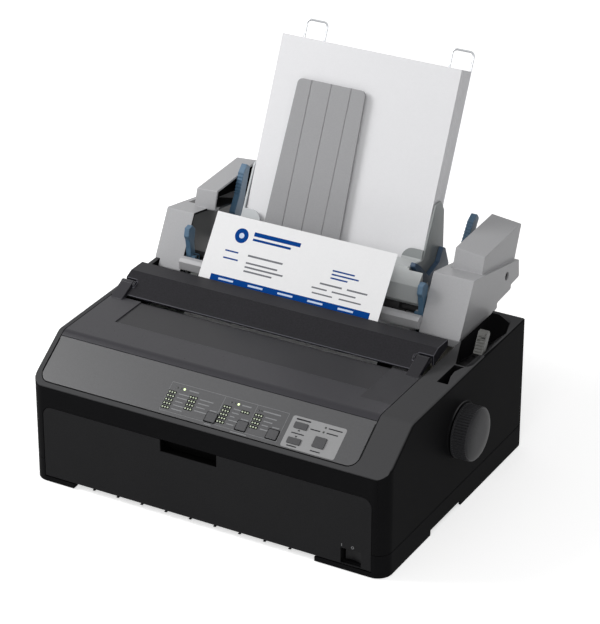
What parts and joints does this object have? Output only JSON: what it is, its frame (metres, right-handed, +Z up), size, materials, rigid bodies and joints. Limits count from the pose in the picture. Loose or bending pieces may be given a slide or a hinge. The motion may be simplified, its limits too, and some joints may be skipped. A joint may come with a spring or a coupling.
{
  "type": "dot matrix printer",
  "caption": "Desktop dot matrix printer with a sloping control panel, a hinged smoky cover, a platen knob and a cut-sheet feeder that holds a stack of paper.",
  "frame": {"origin": "on the desk, under the middle of the whole object", "axes": "+Z up, -Y towards the front with the control panel, +X to the right seen from the front, where the platen knob is"},
  "size_m": [0.438, 0.4229, 0.3884],
  "materials": {
    "lower_case": "satin",
    "upper_case": "satin",
    "control_panel": "satin",
    "panel_board": "satin",
    "front_cover": "satin",
    "printer_cover": "polished",
    "tension_unit": "satin",
    "tension_rollers": "satin",
    "feet": "matt",
    "case_screws": "satin",
    "knob": "satin",
    "platen": "matt",
    "platen_shaft": "satin",
    "platen_gear": "satin",
    "feed_gear": "satin",
    "feed_pinion": "satin",
    "feed_motor": "satin",
    "font_button": "satin",
    "pitch_button": "satin",
    "tear_off_button": "satin",
    "load_button": "satin",
    "line_feed_button": "satin",
    "pause_button": "satin",
    "power_switch": "polished",
    "release_lever": "satin",
    "print_frame": "satin",
    "head_shaft": "satin",
    "carriage": "satin",
    "print_head": "cast",
    "ribbon_cartridge": "satin",
    "drive_belt": "matt",
    "carriage_motor": "satin",
    "motor_pulley": "satin",
    "idler_pulley": "satin",
    "paper_guide": "satin",
    "main_board": "satin",
    "power_board": "satin",
    "tractor_left": "satin",
    "tractor_right": "satin",
    "tractor_lid_left": "satin",
    "tractor_lid_right": "satin",
    "tractor_shaft": "satin",
    "feeder_left_housing": "satin",
    "feeder_right_housing": "satin",
    "feeder_frame": "satin",
    "pickup_shaft": "satin",
    "feeder_gear_a": "satin",
    "feeder_gear_b": "satin",
    "guide_left": "satin",
    "guide_right": "satin",
    "guide_lock_left": "satin",
    "guide_lock_right": "satin",
    "set_levers": "satin",
    "latch_left": "satin",
    "latch_right": "satin",
    "stacker_panel": "satin",
    "wire_support_left": "polished",
    "wire_support_right": "polished",
    "paper_stack": "matt",
    "printed_sheet": "matt"
  },
  "bodies": {
    "printer": {"lower_case": "lower_case", "upper_case": "upper_case", "control_panel": "control_panel", "panel_board": "panel_board", "tension_unit": "tension_unit", "feet": "feet", "case_screws": "case_screws", "feed_motor": "feed_motor", "print_frame": "print_frame", "head_shaft": "head_shaft", "drive_belt": "drive_belt", "carriage_motor": "carriage_motor", "paper_guide": "paper_guide", "main_board": "main_board", "power_board": "power_board", "feeder_left_housing": "feeder_left_housing", "feeder_right_housing": "feeder_right_housing", "feeder_frame": "feeder_frame", "paper_stack": "paper_stack", "printed_sheet": "printed_sheet"},
    "front_cover": {"front_cover": "front_cover"},
    "printer_cover": {"printer_cover": "printer_cover"},
    "tension_rollers": {"tension_rollers": "tension_rollers"},
    "platen": {"platen": "platen", "platen_shaft": "platen_shaft", "platen_gear": "platen_gear", "knob": "knob"},
    "feed_gear": {"feed_gear": "feed_gear"},
    "feed_pinion": {"feed_pinion": "feed_pinion"},
    "power_switch": {"power_switch": "power_switch"},
    "release_lever": {"release_lever": "release_lever"},
    "carriage": {"carriage": "carriage", "print_head": "print_head", "ribbon_cartridge": "ribbon_cartridge"},
    "motor_pulley": {"motor_pulley": "motor_pulley"},
    "idler_pulley": {"idler_pulley": "idler_pulley"},
    "tractor_left": {"tractor_left": "tractor_left"},
    "tractor_right": {"tractor_right": "tractor_right"},
    "tractor_lid_left": {"tractor_lid_left": "tractor_lid_left"},
    "tractor_lid_right": {"tractor_lid_right": "tractor_lid_right"},
    "tractor_shaft": {"tractor_shaft": "tractor_shaft"},
    "pickup_shaft": {"pickup_shaft": "pickup_shaft"},
    "feeder_gear_a": {"feeder_gear_a": "feeder_gear_a"},
    "feeder_gear_b": {"feeder_gear_b": "feeder_gear_b"},
    "guide_left": {"guide_left": "guide_left"},
    "guide_right": {"guide_right": "guide_right"},
    "guide_lock_left": {"guide_lock_left": "guide_lock_left"},
    "guide_lock_right": {"guide_lock_right": "guide_lock_right"},
    "set_levers": {"set_levers": "set_levers"},
    "latch_left": {"latch_left": "latch_left"},
    "latch_right": {"latch_right": "latch_right"},
    "stacker_panel": {"stacker_panel": "stacker_panel"},
    "wire_support_left": {"wire_support_left": "wire_support_left"},
    "wire_support_right": {"wire_support_right": "wire_support_right"},
    "font_button": {"font_button": "font_button"},
    "pitch_button": {"pitch_button": "pitch_button"},
    "tear_off_button": {"tear_off_button": "tear_off_button"},
    "load_button": {"load_button": "load_button"},
    "line_feed_button": {"line_feed_button": "line_feed_button"},
    "pause_button": {"pause_button": "pause_button"}
  },
  "joints": [
    {"name": "front_cover_hinge", "type": "hinge", "parent": "printer", "child": "front_cover", "pos_m": [-0.012, -0.20891, 0.0092], "axis": [1, 0, 0], "range_deg": [0, 80]},
    {"name": "printer_cover_hinge", "type": "hinge", "parent": "printer", "child": "printer_cover", "pos_m": [-0.032, -0.04541, 0.1585], "axis": [-1, 0, 0], "range_deg": [0, 70]},
    {"name": "platen_turn", "type": "hinge", "parent": "printer", "child": "platen", "pos_m": [-0.032, -0.05092, 0.0935], "axis": [1, 0, 0], "continuous": true},
    {"name": "feed_gear_turn", "type": "hinge", "parent": "printer", "child": "feed_gear", "pos_m": [-0.194, -0.03813, 0.04568], "axis": [1, 0, 0], "continuous": true},
    {"name": "feed_pinion_turn", "type": "hinge", "parent": "printer", "child": "feed_pinion", "pos_m": [-0.194, -0.00541, 0.05], "axis": [1, 0, 0], "continuous": true},
    {"name": "feeder_gear_a_turn", "type": "hinge", "parent": "printer", "child": "feeder_gear_a", "pos_m": [0.13, -0.00166, 0.08862], "axis": [1, 0, 0], "continuous": true},
    {"name": "feeder_gear_b_turn", "type": "hinge", "parent": "printer", "child": "feeder_gear_b", "pos_m": [0.13, 0.03863, 0.11472], "axis": [1, 0, 0], "continuous": true},
    {"name": "pickup_turn", "type": "hinge", "parent": "printer", "child": "pickup_shaft", "pos_m": [-0.032, 0.06058, 0.154], "axis": [1, 0, 0], "continuous": true},
    {"name": "tension_rollers_turn", "type": "hinge", "parent": "printer", "child": "tension_rollers", "pos_m": [-0.032, -0.02341, 0.1537], "axis": [1, 0, 0], "continuous": true},
    {"name": "font_button_press", "type": "slide", "parent": "printer", "child": "font_button", "axis": [0, 0.5599, -0.8286], "range_m": [0, 0.0008], "stiffness_N_per_m": 300, "springref_m": -0.002},
    {"name": "pitch_button_press", "type": "slide", "parent": "printer", "child": "pitch_button", "axis": [0, 0.5599, -0.8286], "range_m": [0, 0.0008], "stiffness_N_per_m": 300, "springref_m": -0.002},
    {"name": "tear_off_button_press", "type": "slide", "parent": "printer", "child": "tear_off_button", "axis": [0, 0.5599, -0.8286], "range_m": [0, 0.0008], "stiffness_N_per_m": 300, "springref_m": -0.002},
    {"name": "load_button_press", "type": "slide", "parent": "printer", "child": "load_button", "axis": [0, 0.5599, -0.8286], "range_m": [0, 0.0008], "stiffness_N_per_m": 300, "springref_m": -0.002},
    {"name": "line_feed_button_press", "type": "slide", "parent": "printer", "child": "line_feed_button", "axis": [0, 0.5599, -0.8286], "range_m": [0, 0.0008], "stiffness_N_per_m": 300, "springref_m": -0.002},
    {"name": "pause_button_press", "type": "slide", "parent": "printer", "child": "pause_button", "axis": [0, 0.5599, -0.8286], "range_m": [0, 0.0008], "stiffness_N_per_m": 300, "springref_m": -0.002},
    {"name": "power_switch_rock", "type": "hinge", "parent": "printer", "child": "power_switch", "pos_m": [0.157, -0.19942, 0.017], "axis": [0, 0, 1], "range_deg": [0, 8]},
    {"name": "release_lever_swing", "type": "hinge", "parent": "printer", "child": "release_lever", "pos_m": [0.186, -0.00741, 0.098], "axis": [1, 0, 0], "range_deg": [0, 22]},
    {"name": "carriage_travel", "type": "slide", "parent": "printer", "child": "carriage", "axis": [1, 0, 0], "range_m": [-0.104, 0.104]},
    {"name": "motor_pulley_turn", "type": "hinge", "parent": "printer", "child": "motor_pulley", "pos_m": [-0.167, -0.12742, 0.064], "axis": [0, 0, 1], "range_deg": [-720, 720]},
    {"name": "idler_pulley_turn", "type": "hinge", "parent": "printer", "child": "idler_pulley", "pos_m": [0.106, -0.12742, 0.064], "axis": [0, 0, 1], "range_deg": [-720, 720]},
    {"name": "tractor_left_travel", "type": "slide", "parent": "printer", "child": "tractor_left", "axis": [1, 0, 0], "range_m": [-0.025, 0.08]},
    {"name": "tractor_right_travel", "type": "slide", "parent": "printer", "child": "tractor_right", "axis": [1, 0, 0], "range_m": [-0.08, 0.025]},
    {"name": "tractor_lid_left_hinge", "type": "hinge", "parent": "tractor_left", "child": "tractor_lid_left", "pos_m": [-0.1522, 0.06159, 0.084], "axis": [0, -1, 0], "range_deg": [0, 95]},
    {"name": "tractor_lid_right_hinge", "type": "hinge", "parent": "tractor_right", "child": "tractor_lid_right", "pos_m": [0.0882, 0.06159, 0.084], "axis": [0, 1, 0], "range_deg": [0, 95]},
    {"name": "tractor_shaft_turn", "type": "hinge", "parent": "printer", "child": "tractor_shaft", "pos_m": [-0.032, 0.05058, 0.06], "axis": [1, 0, 0], "continuous": true},
    {"name": "guide_left_travel", "type": "slide", "parent": "printer", "child": "guide_left", "axis": [-1, 0, 0], "range_m": [0, 0.004]},
    {"name": "guide_right_travel", "type": "slide", "parent": "printer", "child": "guide_right", "axis": [1, 0, 0], "range_m": [0, 0.004]},
    {"name": "guide_lock_left_hinge", "type": "hinge", "parent": "guide_left", "child": "guide_lock_left", "pos_m": [-0.147, 0.08858, 0.17], "axis": [-1, 0, 0], "range_deg": [0, 20]},
    {"name": "guide_lock_right_hinge", "type": "hinge", "parent": "guide_right", "child": "guide_lock_right", "pos_m": [0.083, 0.08858, 0.17], "axis": [-1, 0, 0], "range_deg": [0, 20]},
    {"name": "set_levers_swing", "type": "hinge", "parent": "printer", "child": "set_levers", "pos_m": [-0.032, 0.12659, 0.146], "axis": [1, 0, 0], "range_deg": [0, 18]},
    {"name": "latch_left_hinge", "type": "hinge", "parent": "printer", "child": "latch_left", "pos_m": [-0.179, 0.04458, 0.16], "axis": [1, 0, 0], "range_deg": [0, 20]},
    {"name": "latch_right_hinge", "type": "hinge", "parent": "printer", "child": "latch_right", "pos_m": [0.103, 0.04458, 0.16], "axis": [1, 0, 0], "range_deg": [0, 20]},
    {"name": "stacker_panel_hinge", "type": "hinge", "parent": "printer", "child": "stacker_panel", "pos_m": [-0.066, 0.07638, 0.1698], "axis": [1, 0, 0], "range_deg": [0, 15]},
    {"name": "wire_support_left_slide", "type": "slide", "parent": "printer", "child": "wire_support_left", "axis": [0, -0.4131, -0.9107], "range_m": [0, 0.06]},
    {"name": "wire_support_right_slide", "type": "slide", "parent": "printer", "child": "wire_support_right", "axis": [0, -0.4131, -0.9107], "range_m": [0, 0.06]}
  ],
  "couplings": [
    {"joint": "feed_gear_turn", "follows": "platen_turn", "ratio": -1.0625},
    {"joint": "feed_pinion_turn", "follows": "platen_turn", "ratio": 2.8333},
    {"joint": "feeder_gear_a_turn", "follows": "platen_turn", "ratio": -1.0625},
    {"joint": "feeder_gear_b_turn", "follows": "platen_turn", "ratio": 1.0625},
    {"joint": "pickup_turn", "follows": "platen_turn", "ratio": -1.2143},
    {"joint": "motor_pulley_turn", "follows": "carriage_travel", "rad_per_m": -112.36},
    {"joint": "idler_pulley_turn", "follows": "carriage_travel", "rad_per_m": -112.36}
  ]
}
